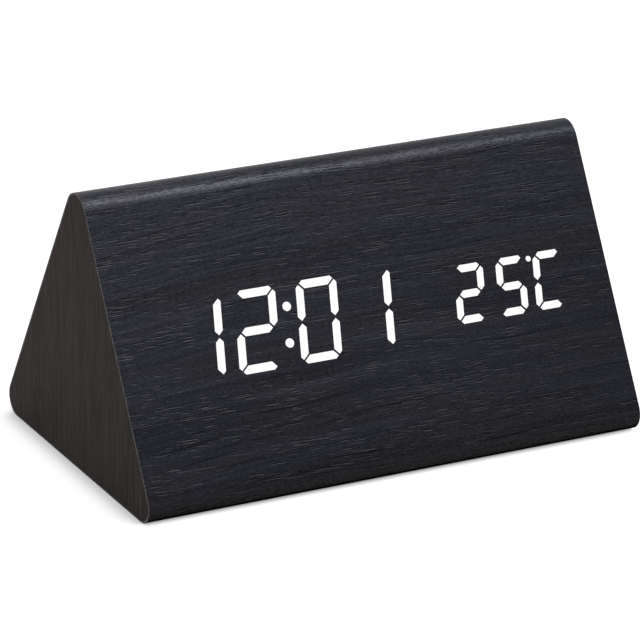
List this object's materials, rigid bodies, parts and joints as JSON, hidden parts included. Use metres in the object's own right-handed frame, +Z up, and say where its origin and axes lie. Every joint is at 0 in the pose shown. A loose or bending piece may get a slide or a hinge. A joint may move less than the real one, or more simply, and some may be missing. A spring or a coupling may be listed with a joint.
{
  "type": "digital alarm clock",
  "caption": "Triangular wooden desk alarm clock in dark veneer, with glowing time and temperature figures on its sloping front, set buttons behind and batteries in its base.",
  "frame": {"origin": "middle of the base, on the surface that the clock stands on", "axes": "+X to the right as the display is read, +Y to the back, +Z up"},
  "size_m": [0.12, 0.0718, 0.0622],
  "materials": {
    "veneer_black": "dark stained open-grain wood veneer, satin",
    "end_veneer": "dark brown stained wood veneer, satin",
    "fibreboard": "raw medium density fibreboard",
    "lit_white": "white light shining through the veneer",
    "black_plastic": "moulded black plastic, fine texture",
    "button_plastic": "moulded black plastic, smooth",
    "reflector_plastic": "matt black plastic",
    "diffuser_resin": "milky cast resin",
    "chip_yellow": "phosphor-coated light chip",
    "circuit_board": "green solder-masked circuit board",
    "chip_black": "black moulded chip package",
    "nylon_white": "natural nylon",
    "zinc_steel": "zinc-plated steel",
    "nickel": "nickel-plated steel",
    "ribbon_grey": "grey ribbon cable",
    "capacitor_sleeve": "dark blue shrink sleeve",
    "cell_jacket": "printed cell jacket, plain green",
    "wire_red": "red wire insulation",
    "wire_black": "black wire insulation"
  },
  "bodies": {
    "case": {"veneer_wrap": "veneer_black", "base_veneer": "veneer_black", "left_end_veneer": "end_veneer", "right_end_veneer": "end_veneer", "front_board": "fibreboard", "rear_board": "fibreboard", "base_board": "fibreboard", "left_end_board": "fibreboard", "right_end_board": "fibreboard", "time_figures": "lit_white", "colon_dots": "lit_white", "temperature_figures": "lit_white", "degree_dot": "lit_white", "display_housing": "reflector_plastic", "segment_diffusers": "diffuser_resin", "led_chips": "chip_yellow", "display_board": "circuit_board", "display_driver": "chip_black", "display_spacers": "nylon_white", "display_screws": "zinc_steel", "display_socket": "nylon_white", "display_ribbon": "ribbon_grey", "control_panel": "black_plastic", "switch_bodies": "nickel", "main_board": "circuit_board", "clock_chip": "chip_black", "crystal_can": "nickel", "capacitors": "capacitor_sleeve", "buzzer": "chip_black", "microphone": "nickel", "thermistor": "chip_black", "ribbon_socket": "nylon_white", "lead_socket": "nylon_white", "power_jack": "black_plastic", "power_jack_pin": "nickel", "panel_screws": "zinc_steel", "board_screws": "zinc_steel", "battery_box": "black_plastic", "battery_cells": "cell_jacket", "plate_contacts": "nickel", "spring_contacts": "nickel", "red_lead": "wire_red", "black_lead": "wire_black", "box_screws": "zinc_steel"},
    "set_button_body": {"set_button": "button_plastic", "set_plunger": "chip_black"},
    "up_button_body": {"up_button": "button_plastic", "up_plunger": "chip_black"},
    "down_button_body": {"down_button": "button_plastic", "down_plunger": "chip_black"},
    "battery_door_body": {"battery_door": "black_plastic"}
  },
  "joints": [
    {"name": "set_press", "type": "slide", "parent": "case", "child": "set_button_body", "axis": [0, -0.866, -0.5], "range_m": [0, 0.0005], "stiffness_N_per_m": 1500, "springref_m": -0.0003},
    {"name": "up_press", "type": "slide", "parent": "case", "child": "up_button_body", "axis": [0, -0.866, -0.5], "range_m": [0, 0.0005], "stiffness_N_per_m": 1500, "springref_m": -0.0003},
    {"name": "down_press", "type": "slide", "parent": "case", "child": "down_button_body", "axis": [0, -0.866, -0.5], "range_m": [0, 0.0005], "stiffness_N_per_m": 1500, "springref_m": -0.0003},
    {"name": "battery_door_swing", "type": "hinge", "parent": "case", "child": "battery_door_body", "pos_m": [0, 0.0173, 0.0012], "axis": [1, 0, 0], "range_deg": [0, 75]}
  ]
}
